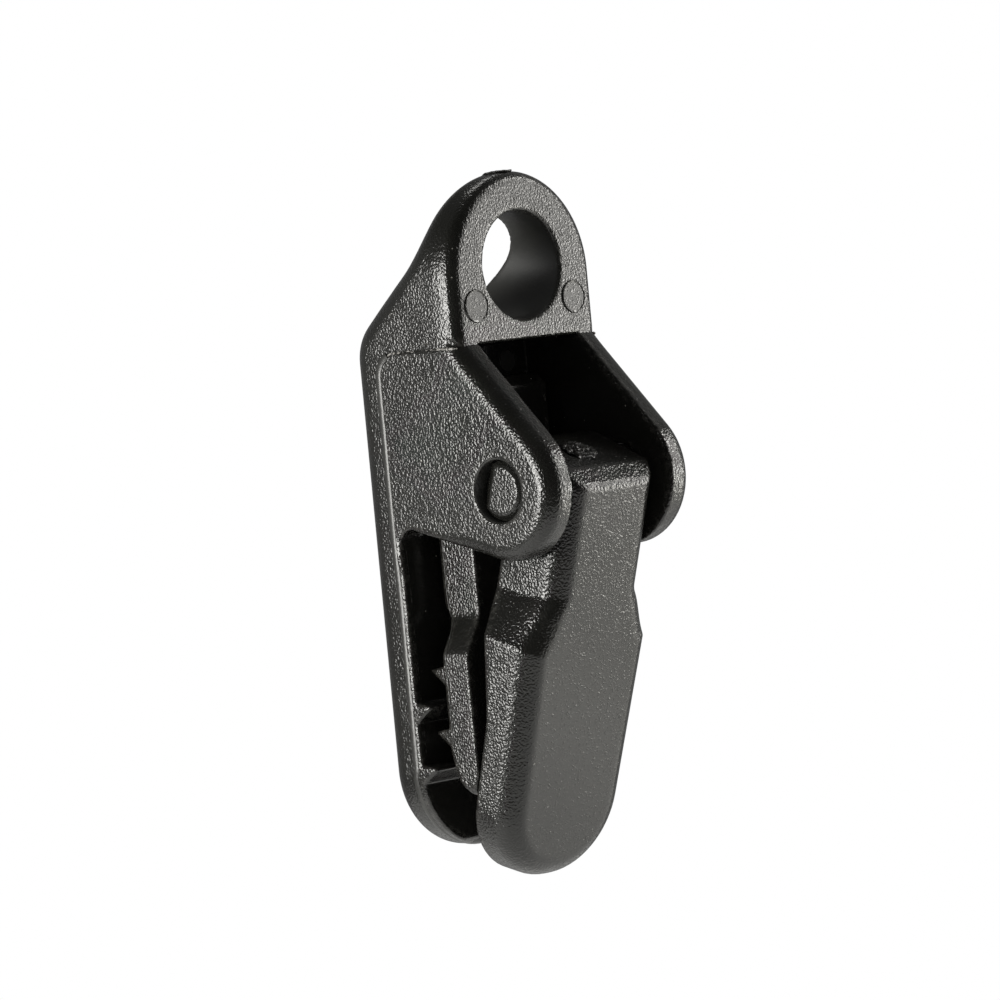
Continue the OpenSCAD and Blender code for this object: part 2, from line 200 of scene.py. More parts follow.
def rounded_outline(corners: list[Corner], step: float = 6.0) -> Array:
    """Draw a closed outline with rounded corners.

    Args:
        corners: Place and rounding radius of each corner, in order.
        step: Largest turn between two points of a rounding, in degrees.

    Returns:
        Points of the outline, one row each.
    """
    points: list[Array] = []
    count = len(corners)
    for i, (u, v, radius) in enumerate(corners):
        corner = np.array([u, v])
        if radius <= 0:
            points.append(corner)
            continue
        before = np.array(corners[i - 1][:2]) - corner
        after = np.array(corners[(i + 1) % count][:2]) - corner
        before, after = before / np.linalg.norm(before), after / np.linalg.norm(after)
        half = math.acos(float(np.clip(before @ after, -1, 1))) / 2
        middle = (before + after) / np.linalg.norm(before + after)
        centre = corner + middle * radius / math.sin(half)
        start = corner + before * radius / math.tan(half) - centre
        turn = math.pi - 2 * half
        if before[0] * after[1] - before[1] * after[0] > 0:
            turn = -turn
        steps = max(2, math.ceil(abs(math.degrees(turn)) / step))
        for k in range(steps + 1):
            angle = turn * k / steps
            spin = np.array([[math.cos(angle), -math.sin(angle)], [math.sin(angle), math.cos(angle)]])
            points.append(centre + spin @ start)
    return np.array(points)


def tooth_row(face: float, tops: tuple[float, ...], size: Point) -> list[Corner]:
    """Draw the side view of teeth on an upright face.

    Args:
        face: Depth of the face.
        tops: Height of each tooth's upper root.
        size: How far a tooth stands out, its length along the face, and how far its point lies below the upper root.

    Returns:
        Corners from the top down.
    """
    out, length, sag = size
    upper, point, lower = TOOTH_ROUNDS
    row: list[Corner] = []
    for top in tops:
        row += [(face, top, upper), (face + out, top - sag, point), (face, top - length, lower)]
    return row


def outline_distance(outline: Array, u: Array, v: Array) -> Array:
    """Measure the distance of points to a closed outline.

    Args:
        outline: Points of the outline.
        u: First coordinate of the points.
        v: Second coordinate, of a shape that goes with the first.

    Returns:
        Distances, negative inside.
    """
    shape = np.broadcast_shapes(np.shape(u), np.shape(v))
    best = np.full(shape, np.inf)
    inside = np.zeros(shape, bool)
    for (au, av), (bu, bv) in zip(outline, np.roll(outline, -1, axis=0)):
        du, dv = bu - au, bv - av
        length = du * du + dv * dv
        if length < 1e-12:
            continue
        pu, pv = u - au, v - av
        share = np.clip((pu * du + pv * dv) / length, 0, 1)
        best = np.minimum(best, (pu - share * du) ** 2 + (pv - share * dv) ** 2)
        if dv:
            inside ^= ((av <= v) != (bv <= v)) & (pu < pv * du / dv)
    return np.where(inside, -1.0, 1.0) * np.sqrt(best)


def ramp(low: float, high: float, value: Array) -> Array:
    """Smooth step from 0 at the low value to 1 at the high one."""
    share = np.clip((value - low) / (high - low), 0, 1)
    return share * share * (3 - 2 * share)


def blunt(a: Array, b: Array, radius: float | Array) -> Array:
    """Keep what two fields share, with the edge between them rounded.

    Args:
        a: First field.
        b: Second field.
        radius: Rounding of the edge.

    Returns:
        The joint field.
    """
    a, b = a + radius, b + radius
    return np.minimum(np.maximum(a, b), 0) + np.hypot(np.maximum(a, 0), np.maximum(b, 0)) - radius


def fill(a: Array, b: Array, radius: float) -> Array:
    """Join two fields, with the inner corner between them filled to a radius."""
    return -blunt(-a, -b, radius)


def net(values: Array, low: Array, pitch: float) -> tuple[Array, Array]:
    """Draw the closed surface on which a sampled field is zero.

    Args:
        values: Field at the points of a regular grid.
        low: Place of the grid's first point.
        pitch: Distance from one grid point to the next.

    Returns:
        Points of the surface, and its faces of four points, which face outwards.
    """
    inside = values < 0
    cells = tuple(size - 1 for size in values.shape)
    count = np.zeros(cells, np.int8)
    offsets = [(i, j, k) for i in (0, 1) for j in (0, 1) for k in (0, 1)]
    for i, j, k in offsets:
        count += inside[i:i + cells[0], j:j + cells[1], k:k + cells[2]]
    active = (count > 0) & (count < len(offsets))
    index = np.full(cells, -1, np.int64)
    index[active] = np.arange(int(active.sum()))
    cell = np.argwhere(active)
    total = np.zeros((len(cell), 3))
    hits = np.zeros(len(cell))
    # One point in each cell that the surface passes, at the mean of where it crosses the cell's edges
    for axis in range(3):
        for offset in offsets:
            if offset[axis]:
                continue
            near = cell + offset
            far = near.copy()
            far[:, axis] += 1
            a, b = values[tuple(near.T)], values[tuple(far.T)]
            crossed = (a < 0) != (b < 0)
            share = np.where(crossed, a / np.where(crossed, a - b, 1), 0)
            spot = near.astype(float)
            spot[:, axis] += share
            total += spot * crossed[:, None]
            hits += crossed
    points = low + pitch * total / hits[:, None]
    # One face across each grid edge that the surface crosses
    faces = []
    for axis in range(3):
        b, c = (axis + 1) % 3, (axis + 2) % 3
        first = [slice(1, -1)] * 3
        second = [slice(1, -1)] * 3
        first[axis], second[axis] = slice(0, -1), slice(1, None)
        starts, ends = inside[tuple(first)], inside[tuple(second)]
        shift = np.ones(3, np.int64)
        shift[axis] = 0
        for leaving, order in ((True, (0, 1, 2, 3)), (False, (3, 2, 1, 0))):
            edge = np.argwhere((starts != ends) & (starts == leaving)) + shift
            ring = []
            for db, dc in ((-1, -1), (0, -1), (0, 0), (-1, 0)):
                near = edge.copy()
                near[:, b] += db
                near[:, c] += dc
                ring.append(index[tuple(near.T)])
            faces.append(np.stack([ring[i] for i in order], axis=1))
    return points, np.concatenate(faces)


# Finishes

class Surface(Enum):
    """How a face of the mould was made, which is the order of the materials on a moulding."""

    SPARKED = 0
    POLISHED = 1


@dataclass(frozen=True)
class MouldedPlastic:
    """Black polypropylene as it leaves its mould.

    The plastic is dyed right through and reflects little of its own colour, so the eye sees mostly the soft gloss of
    its skin. A spark-eroded mould leaves that skin with a fine pebble grain that sparkles where light grazes it; a
    polished core pin leaves it plain and shiny.
    """

    name: str
    colour: str
    pale: str
    roughness: float
    roughness_swing: float
    grain_mm: float
    grain_depth_mm: float
    speck_level: float
    speck_apart_mm: float = 2.2
    flow_mm: float = 9.0
    patch_mm: float = 0.8
    ior: float = 1.5

    def material(self) -> bpy.types.Material:
        """Build the material of this finish.

        Returns:
            The material, which reads the attributes grain and wear of the moulding.
        """
        material = bpy.data.materials.new(self.name)
        tree = empty_tree(material)
        place = wire(tree, "ShaderNodeTexCoord", output="Object")
        grain, wear = (wire(tree, "ShaderNodeAttribute", None, "Fac", attribute_name=key) for key in ("grain", "wear"))

        # Pebble grain: soft rounded lumps of the grain's size, with a little of half that size on them
        lumps = cloud(tree, place, self.grain_mm, 1.0, 0.35)
        # Where the share of the grain is small, only its highest lumps are left, as single steep dots on a smooth face
        left = calc(tree, "MAXIMUM", lumps, remap(tree, grain, (0.0, 1.0), (0.76, 0.2)))
        strong = calc(tree, "MAXIMUM", grain, calc(tree, "MULTIPLY_ADD", grain, -0.5, 1.5))
        height = calc(tree, "MULTIPLY", left, strong)
        depth = self.grain_depth_mm * MM
        bump = wire(tree, "ShaderNodeBump", {"Strength": 1.0, "Distance": depth, "Height": height}, "Normal")

        # Slow cloud of the melt's flow, which turns the tone and the gloss a little
        flow = cloud(tree, place, self.flow_mm, 3.0, 0.55)
        drift = remap(tree, flow, (0.3, 0.7), (0.0, 0.015))
        swing = (self.roughness - self.roughness_swing, self.roughness + self.roughness_swing)
        gloss = remap(tree, flow, (0.3, 0.7), swing)
        # Pale pin-point specks, about 0.15 mm across
        apart = 1 / (self.speck_apart_mm * MM)
        dust = wire(tree, "ShaderNodeTexVoronoi", {"Vector": place, "Scale": apart, "Randomness": 1.0}, "Distance")
        speck = remap(tree, dust, (0.02, 0.06), (self.speck_level, 0.0), "SMOOTHSTEP")
        # Edges that rub against their neighbours turn paler, in broken patches
        patch = cloud(tree, place, self.patch_mm, 4.0, 0.65)
        worn = calc(tree, "MULTIPLY", remap(tree, patch, (0.45, 0.75), (0.0, 0.12)), wear)
        pale_share = calc(tree, "MAXIMUM", worn, speck)
        share = wire(tree, "ShaderNodeMath", {0: pale_share, 1: drift}, operation="ADD", use_clamp=True)
        tones = {"A": to_linear(self.colour), "B": to_linear(self.pale)}
        tone = wire(tree, "ShaderNodeMix", {"Factor": share, **tones}, "Result", data_type="RGBA")
        shader = wire(tree, "ShaderNodeBsdfPrincipled",
                      {"Base Color": tone, "Roughness": gloss, "IOR": self.ior, "Normal": bump}, "BSDF")
        add_node(tree, "ShaderNodeOutputMaterial", None, {"Surface": shader})
        return material


# Near-black skin that the eye knows by the sparkle of its grain
SPARK_ERODED = MouldedPlastic(
    name="polypropylene_spark_eroded",
    colour="#121210", pale="#84827c",
    roughness=0.22, roughness_swing=0.02,
    grain_mm=0.28, grain_depth_mm=0.085,
    speck_level=0.7,
)
# Plainer skin with a soft sheen, in bores and on fine ridges; its greyer colour is painted sheen, lighter than the
# black plastic, that brightens the bores
CORE_POLISHED_PAINTED_SHEEN = MouldedPlastic(
    name="polypropylene_core_polished_painted_sheen",
    colour="#282826", pale="#494845",
    roughness=0.34, roughness_swing=0.04,
    grain_mm=0.9, grain_depth_mm=0.006,
    speck_level=0.15,
)
# Pale torn edge of thin flash
TORN_FLASH = MouldedPlastic(
    name="polypropylene_torn_flash",
    colour="#6e6c68", pale="#d6d4cf",
    roughness=0.4, roughness_swing=0.08,
    grain_mm=0.2, grain_depth_mm=0.03,
    speck_level=0.6,
)


# Mouldings

@dataclass
class Moulding:
    """One moulded piece of the clip, drawn as a distance field.

    Args:
        name: Name of the finished piece.
        node: Solid that it stands for.
        body: Body with which it moves.
        pitch: Grid distance of the mesh in millimetres.
    """

    name: str
    node: str
    body: str
    pitch: float
    outlines: dict[str, Array] = field(init=False)

    def __post_init__(self) -> None:
        """Draw the outlines of the views once."""
        self.outlines = self.views()

    def side_outline(self) -> Array:
        """Outline of the side view, in depth and height."""
        raise NotImplementedError

    def face_outline(self) -> Array:
        """Outline of the front view, in width and height."""
        raise NotImplementedError

    def views(self) -> dict[str, Array]:
        """Outlines from which the field is drawn."""
        return {"side": self.side_outline(), "face": self.face_outline()}

    def field(self, x: Array, y: Array, z: Array) -> Array:
        """Distance of points to the surface in millimetres, negative inside."""
        raise NotImplementedError

    def span(self) -> tuple[Point, Point]:
        """Lowest and highest corner of the space in which the field is drawn."""
        raise NotImplementedError

    def settle(self, points: Array) -> Array:
        """Place of the field's points in the frame of the solids."""
        return points

    def grain(self, points: Array, normals: Array) -> Array:
        """Share of the full grain at each point."""
        raise NotImplementedError

    def surface(self, points: Array, normals: Array) -> Array:
        """Surface, as a number, at the middle of each face."""
        return np.full(len(points), Surface.SPARKED.value)

    def slope(self, points: Array) -> tuple[Array, Array]:
        """Value and direction of the field at points.

        Args:
            points: Points in the field's own frame.

        Returns:
            The field's value, and its unit gradient.
        """
        small = 0.01
        value = self.field(*points.T)
        rise = np.empty_like(points)
        for axis in range(3):
            moved = points.copy()
            moved[:, axis] += small
            rise[:, axis] = (self.field(*moved.T) - value) / small
        return value, rise / np.maximum(np.linalg.norm(rise, axis=1), 1e-6)[:, None]

    def mesh(self) -> tuple[Array, Array]:
        """Draw the piece's closed surface.

        Returns:
            Points in the field's own frame, and faces of four points.
        """
        low, high = (np.array(corner, float) for corner in self.span())
        # The middle of the width falls between two grid points, so the mesh is the same on both sides
        axes = [np.arange(low[i] - self.pitch / 2, high[i] + self.pitch, self.pitch) for i in range(3)]
        half = math.ceil(high[0] / self.pitch) + 1
        axes[0] = (np.arange(-half, half) + 0.5) * self.pitch
        values = self.field(axes[0][:, None, None], axes[1][None, :, None], axes[2][None, None, :])
        start = np.array([axis[0] for axis in axes])
        points, faces = net(values, start, self.pitch)
        for _ in range(2):
            value, normal = self.slope(points)
            points = points - normal * np.clip(value, -self.pitch / 2, self.pitch / 2)[:, None]
        return points, faces

    def build(self, materials: list[bpy.types.Material]) -> bpy.types.Object:
        """Make the piece and let it stand for its solid.

        Args:
            materials: Materials in the order of Surface.

        Returns:
            The finished object.
        """
        points, faces = self.mesh()
        _, normals = self.slope(points)
        # A point a millimetre under a flat face lies a millimetre deep; under an edge it lies less deep
        gain = 5
        wear = np.clip((1 + self.field(*(points - normals).T)) * gain, 0, 1)
        mesh = bpy.data.meshes.new(self.name)
        mesh.from_pydata((self.settle(points) * MM).tolist(), [], faces.tolist())
        mesh.polygons.foreach_set("use_smooth", np.ones(len(faces), bool))
        for key, values in (("grain", self.grain(points, normals)), ("wear", wear)):
            mesh.attributes.new(key, "FLOAT", "POINT").data.foreach_set("value", values.astype(np.float32))
        for material in materials:
            mesh.materials.append(material)
        middle, facing = points[faces].mean(axis=1), normals[faces].mean(axis=1)
        mesh.polygons.foreach_set("material_index", self.surface(middle, facing).astype(np.int32))
        mesh.update()
        piece = add_object(self.name, mesh)
        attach(piece, self.body)
        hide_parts(self.node)
        LOG.info("%s: %d points, %d faces", self.name, len(points), len(faces))
        return piece


@dataclass
class Body(Moulding):
    """Eyelet, toothed back plate and two cheeks in one moulding; sizes in millimetres."""

    half_width: float = 12.45
    depth: float = 18.2
    plate_front: float = 12.3
    plate_edge: float = 0.14
    foot: float = -68.9
    foot_lead: float = 1.0
    foot_round: float = 10.0
    back_round: float = 3.0
    back_draft: float = 0.03
    face_round: float = 1.3
    face_easing: float = 0.16
    easing_depth: float = 3.4
    easing_bend: float = 2.1
    bore: float = 6.5
    bore_edge: float = 0.3
    top: float = 11.2
    eyelet_low: float = -8.8
    eyelet_zone: Pair = (-9.4, -8.4)
    lug_top: float = 5.3
    lug_axis: float = 9.7
    lug_lean: float = 10.0
    slope_lean: float = 50.0
    hollow_round: float = 10.0
    shoulder_round: float = 6.0
    channel: float = 8.65
    channel_edge: float = 0.12
    pivot: Pair = PIVOT
    pivot_hole: float = 3.7
    hole_edge: float = 0.2
    cheek_round: float = 8.4
    cheek_edge: float = 2.2
    cheek_fade: Pair = (-1.5, 9.5)
    cheek_lean: float = 43.0
    cheek_rise: float = 18.0
    cheek_lap: float = 0.6
    window_round: float = 2.0
    window_edge: float = 0.3
    panel_step: float = 0.15
    panel_edge: float = 0.1
    panel_back: float = 13.3
    panel_top: float = -9.05
    panel_low: Pair = (-33.5, -37.0)
    panel_round: float = 3.0
    seat_front: float = 9.0
    seat_foot: float = -20.0
    seat_round: float = 1.8
    seat_slot: float = 4.0
    seat_edge: float = 0.15
    bead: Pair = BEAD
    tooth_tops: tuple[float, ...] = (-50.8, -58.2)
    tooth: Point = (-2.6, 2.3, 0.4)
    line_sink: float = 0.92
    line_sink_panel: float = 0.93
    line_rise: float = 0.14
    inner_grain: float = 0.15
    gate: Spot = ((-0.3, 2.4, 11.1), (0, 0.1, 1))

    @property
    def spine_half(self) -> float:
        """Half the width beside the proud side panels."""
        return self.half_width - self.panel_step

    def views(self) -> dict[str, Array]:
        """Outlines of the side view."""
        return {
            "back": self.back_outline(),
            "front": self.front_outline(),
            "cheek": self.cheek_outline(),
            "panel": self.panel_outline(),
        }

    def back_outline(self) -> Array:
        """Side view of all that lies ahead of the clip's back."""
        fall, lean = (math.tan(math.radians(angle)) for angle in (self.slope_lean, self.lug_lean))
        knee = (self.lug_axis - self.lug_top - self.top * lean) / (fall - lean)
        return rounded_outline([
            (self.lug_top - PAST * lean, self.top + PAST, 0),
            (self.lug_axis - knee * fall, knee, self.hollow_round),
            (self.depth, (self.lug_axis - self.depth) / fall, self.shoulder_round),
            (self.depth, self.foot - PAST, 0),
            (-FAR, self.foot - PAST, 0),
            (-FAR, self.top + PAST, 0),
        ])

    def front_outline(self) -> Array:
        """Side view of all that lies behind the eyelet's face, the jaw's seat and the toothed plate."""
        lead, run = self.foot + self.foot_lead, 20
        return rounded_outline([
            (FAR, self.top + PAST, 0),
            (0, self.top + PAST, 0),
            (0, self.eyelet_low, 0.3),
            (self.seat_front, self.eyelet_low, 0.6),
            (self.seat_front, self.seat_foot, 0.4),
            (self.plate_front, self.seat_foot, 0.4),
            *tooth_row(self.plate_front, self.tooth_tops, self.tooth),
            (self.plate_front, lead, 1.2),
            (self.plate_front + run, lead - run, 0),
            (FAR, self.foot - PAST, 0),
        ])

    def cheek_outline(self) -> Array:
        """Side view of the cheeks' free edge, the nose around the pivot and the window's corner."""
        pivot = np.array(self.pivot)
        slant = pivot + self.cheek_round * heading(180 - self.cheek_lean)
        lower = pivot + self.cheek_round * heading(self.cheek_rise - 90)
        lean, rise = math.tan(math.radians(self.cheek_lean)), math.tan(math.radians(self.cheek_rise))
        # The two edges, carried on, meet ahead of the pivot; the nose rounds that corner
        nose_y = (slant[1] - lower[1] - slant[0] / lean + lower[0] * rise) / (rise - 1 / lean)
        nose_z = lower[1] + (nose_y - lower[0]) * rise
        window = self.plate_front + self.panel_step
        high = 40
        return rounded_outline([
            (FAR, high, 0),
            (slant[0] + (high - slant[1]) * lean, high, 0),
            (nose_y, nose_z, self.cheek_round),
            (window, lower[1] + (window - lower[0]) * rise, self.window_round),
            (window, self.foot - PAST, 0),
            (FAR, self.foot - PAST, 0),
        ])

    def panel_outline(self) -> Array:
        """Side view of the panels that stand proud on the flanks."""
        bend, low = self.panel_low
        return rounded_outline([
            (-FAR, self.panel_top, 0),
            (self.panel_back, self.panel_top, self.panel_round),
            (self.panel_back, bend, 0.6),
            (self.plate_front - 0.6, low, 0),
            (-FAR, low, 0),
        ])

    def panel_corner(self, angles: Array) -> list[Array]:
        """Points at angles round the panel's upper rear corner, in the side view."""
        middle = np.array([self.panel_back, self.panel_top]) - self.panel_round
        return [middle + self.panel_round * heading(angle) for angle in angles]

    def flank(self, wide: Array, z: Array) -> Array:
        """Distance to the front view of the spine: foot, straight flanks and arch."""
        middle = self.top - self.spine_half
        arch = np.hypot(wide, z - middle) - self.spine_half
        side = wide - self.spine_half + self.foot_round
        low = self.foot + self.foot_round - z
        corner = np.hypot(np.maximum(side, 0), np.maximum(low, 0))
        straight = corner + np.minimum(np.maximum(side, low), 0) - self.foot_round
        return np.where(z > middle, arch, straight)

    def field(self, x: Array, y: Array, z: Array) -> Array:
        """Distance of points to the body's surface in millimetres, negative inside."""
        wide = np.abs(x)
        back, front, edge, panel = (outline_distance(line, y, z) for line in self.outlines.values())
        eyelet = ramp(*self.eyelet_zone, z)
        # Behind the parting line the flanks draw in a little, and so do the eyelet's flanks beside its face
        drawn = wide + self.back_draft * np.maximum(y - self.panel_back, 0)
        near, bend = np.clip(self.easing_depth - y, 0, self.easing_depth), self.easing_bend
        eased = np.where(near < bend, near * near / (2 * bend), near - bend / 2)
        drawn = drawn + self.face_easing * eased * eyelet
        outer = blunt(self.flank(drawn, z), back, self.back_round)
        spine = blunt(outer, front, self.plate_edge + (self.face_round - self.plate_edge) * eyelet)
        fade = 1 - ramp(*self.cheek_fade, y)
        free_round = self.window_edge + (self.cheek_edge - self.window_edge) * fade
        core, proud = (
            blunt(blunt(edge, wide - half, free_round), self.channel - wide, self.channel_edge)
            for half in (self.spine_half, self.half_width)
        )
        core = np.maximum(np.maximum(core, z - self.eyelet_low - self.cheek_lap), outer)
        proud = np.maximum(blunt(proud, panel, self.panel_edge), outer - self.panel_step)
        shape = np.minimum(np.minimum(spine, core), proud)
        shape = blunt(shape, self.bore - np.hypot(x, z), self.bore_edge)
        shape = blunt(shape, self.pivot_hole - np.hypot(y - self.pivot[0], z - self.pivot[1]), self.hole_edge)
        seat = np.hypot(y - self.bead[0], z - self.bead[1]) - self.seat_round
        slot = np.maximum(np.abs(z - self.bead[1]) - self.seat_round, y - self.bead[0])
        slot = np.maximum(slot, self.seat_front - self.seat_slot - y)
        return blunt(shape, -np.maximum(np.minimum(seat, slot), wide - self.channel), self.seat_edge)

    def span(self) -> tuple[Point, Point]:
        """Lowest and highest corner of the space in which the field is drawn."""
        reach = self.pivot[0] - self.cheek_round
        return (-self.half_width, reach - 1, self.foot - 1), (self.half_width, self.depth + 1, self.top + 1)

    def grain(self, points: Array, normals: Array) -> Array:
        """Share of the full grain: more on the eyelet's face, less behind the parting line, little on inner faces."""
        across, deep, high = points.T
        face = ramp(0.9, 0.99, -normals[:, 1]) * (deep < 0.5)
        rear = (deep > self.panel_back) * ramp(-45, -30, high)
        # The toothed plate, from ahead of the teeth's points to a little behind its face
        toothed = np.abs(deep - self.plate_front + 1.5) < 1.8
        plate = toothed & (np.abs(normals[:, 0]) < 0.6) & (high < self.eyelet_low)
        channel = (np.abs(across) < self.channel + 0.3) & (normals[:, 0] * np.sign(across) < -0.3)
        return np.where(plate | channel, self.inner_grain, 1 + 0.1 * face - 0.25 * rear)

    def surface(self, points: Array, normals: Array) -> Array:
        """Polished surface inside the eyelet and the pivot holes."""
        bore = (np.hypot(points[:, 0], points[:, 2]) < self.bore + 0.12) & (np.abs(normals[:, 1]) < 0.8)
        away = np.hypot(points[:, 1] - self.pivot[0], points[:, 2] - self.pivot[1])
        hole = (away < self.pivot_hole + 0.1) & (np.abs(normals[:, 0]) < 0.7)
        return np.where(bore | hole, Surface.POLISHED.value, Surface.SPARKED.value)

    def front_spots(self, across: float, deep: float, high: float) -> list[Spot]:
        """Two spots that face the lever, on both sides of the middle."""
        sink = 0.02
        return [((side * across, deep + sink, high), (0, -1, 0)) for side in SIDES]

    def flank_lines(self) -> list[Array]:
        """Parting line from panel corner to panel corner, down the flanks and under the foot."""
        # The middle of the bead lies deep, so that only a low ridge stands out
        corner = self.panel_corner(np.linspace(65, 0, 10)[:-1])
        half = [(self.half_width - self.line_sink_panel, *spot) for spot in corner]
        centre = (self.spine_half - self.foot_round, self.foot + self.foot_round)
        for z in np.linspace(self.panel_top - self.panel_round, centre[1], 40):
            rise = self.line_rise * float(ramp(-38, -32, z))
            half.append((self.spine_half - self.line_sink + rise, self.panel_back, z))
        for angle in np.linspace(0, -90, 16)[1:]:
            spot = np.array(centre) + (self.foot_round - self.line_sink) * heading(angle)
            half.append((spot[0], self.panel_back + 0.25, spot[1]))
        return [np.array(half + [(-x, y, z) for x, y, z in reversed(half)])]

    def seam_lines(self) -> list[Array]:
        """Seam along the top of each panel and round its rear corner, with more flash near the face."""
        line = []
        for angle in np.linspace(45, 90, 6):
            spot = self.face_round * heading(angle)
            line.append((self.spine_half - self.face_round + spot[1], self.face_round - spot[0], self.panel_top))
        straight = np.linspace(2, self.panel_back - self.panel_round, 20)
        line += [(self.spine_half, y, self.panel_top) for y in straight]
        line += [(self.spine_half, *spot) for spot in self.panel_corner(np.linspace(90, 0, 10)[1:])]
        paths = [np.array(line), np.array(line[2:11])]
        return [path * (side, 1, 1) for path in paths for side in SIDES]


@dataclass
class ClampJaw(Moulding):
    """Toothed plate that rocks on a bead at its top; sizes in millimetres."""

    front: float = 5.0
    back: float = 9.1
    neck_back: float = 10.6
    top_back: float = 8.5
    top: float = -13.1
    top_slope: float = 1.3
    neck_half: float = NECK_HALF
    half: float = 10.4
    neck_top: Pair = (-20.5, -20.0)
    neck_low: float = -40.8
    shoulder: float = 4.4
    tip: float = -62.3
    tip_round: float = 1.6
    bevel: float = 3.0
    bevel_lean: float = LEAN
    lead: float = -56.9
    lead_round: float = 1.2
    lead_shares: tuple[Pair, ...] = ((0.1, 0.34), (0.28, 0.68), (0.6, 0.95))
    bead: Pair = BEAD
    bead_round: float = 1.7
    edge: float = 0.2
    bead_edge: float = 0.3
    draft: float = 0.015
    parting_inset: float = 0.6
    parting_bend: Pair = (-42.5, -39.5)
    web: float = 2.0
    tooth_tops: tuple[float, ...] = (-46.6, -54.0)
    tooth: Point = (2.3, 2.3, 0.4)

    def side_outline(self) -> Array:
        """Side view with the teeth, the curved tip and the web of the bead."""
        bulge = self.neck_back - self.back
        thick, high = self.back - self.front, self.lead - self.tip
        curve = [(self.back - across * thick, self.lead - down * high, self.lead_round)
                 for across, down in self.lead_shares]
        web_top, web_low = self.bead[1] + self.web / 2, self.bead[1] - self.web / 2
        return rounded_outline([
            (self.front, self.top - self.top_slope, 0.3),
            (self.front + self.top_slope, self.top, 0.3),
            (self.top_back, self.top, 0.4),
            (self.top_back, web_top, 0.3),
            (self.bead[0], web_top, 0),
            (self.bead[0], web_low, 0),
            (self.top_back, web_low, 0.3),
            (self.top_back, self.neck_top[0], 0.6),
            (self.neck_back, self.neck_top[1] - bulge, 0.8),
            (self.neck_back, self.neck_low + bulge, 1.5),
            (self.back, self.neck_low - bulge, 1.5),
            *tooth_row(self.back, self.tooth_tops, self.tooth),
            (self.back, self.lead, self.lead_round),
            *curve,
            (self.front + self.bevel * math.tan(math.radians(self.bevel_lean)), self.tip, 0.2),
            (self.front, self.tip + self.bevel, 0.6),
        ])

    def face_outline(self) -> Array:
        """Front view of one half: the neck between the cheeks and the wider gripping end."""
        return rounded_outline([
            (-FAR, self.top + PAST, 0),
            (self.neck_half, self.top + PAST, 0),
            (self.neck_half, self.neck_low, 2.5),
            (self.half, self.neck_low - self.shoulder, 2.0),
            (self.half, self.tip, self.tip_round),
            (-FAR, self.tip, 0),
        ])

    def parting(self, z: Array) -> Array:
        """Depth at which the two halves of the mould meet."""
        return self.back + (self.neck_back - self.back) * ramp(*self.parting_bend, z) - self.parting_inset

    def field(self, x: Array, y: Array, z: Array) -> Array:
        """Distance of points to the jaw's surface in millimetres, negative inside."""
        wide = np.abs(x)
        side = outline_distance(self.outlines["side"], y, z)
        # The flanks fall away a little on both sides of the parting line
        face = outline_distance(self.outlines["face"], wide, z) + self.draft * np.abs(y - self.parting(z))
        bead = np.hypot(y - self.bead[0], z - self.bead[1]) - self.bead_round
        return np.minimum(blunt(side, face, self.edge), blunt(bead, wide - self.neck_half, self.bead_edge))

    def span(self) -> tuple[Point, Point]:
        """Lowest and highest corner of the space in which the field is drawn."""
        reach = self.bead[0] + self.bead_round
        return (-self.half, self.front - 1, self.tip - 1), (self.half, reach + 1, self.top + 1)

    def grain(self, points: Array, normals: Array) -> Array:
        """Share of the full grain: full on the flanks, little between the jaws and on the front."""
        return 0.2 + 0.7 * ramp(0.5, 0.8, np.abs(normals[:, 0]))

    def flank_lines(self) -> list[Array]:
        """Parting line down each flank and out over the shoulder."""
        face = self.outlines["face"]
        keep = (face[:, 0] > 0) & (face[:, 1] < self.top) & (face[:, 1] > self.lead)
        start = [(self.neck_half, z) for z in np.linspace(self.neck_top[0], self.neck_low + 2.5, 16)]
        line = np.array(start + [tuple(spot) for spot in face[keep]] + [(self.half, self.lead + 0.6)])
        depth = self.parting(line[:, 1])
        return [np.column_stack([side * line[:, 0], depth, line[:, 1]]) for side in SIDES]


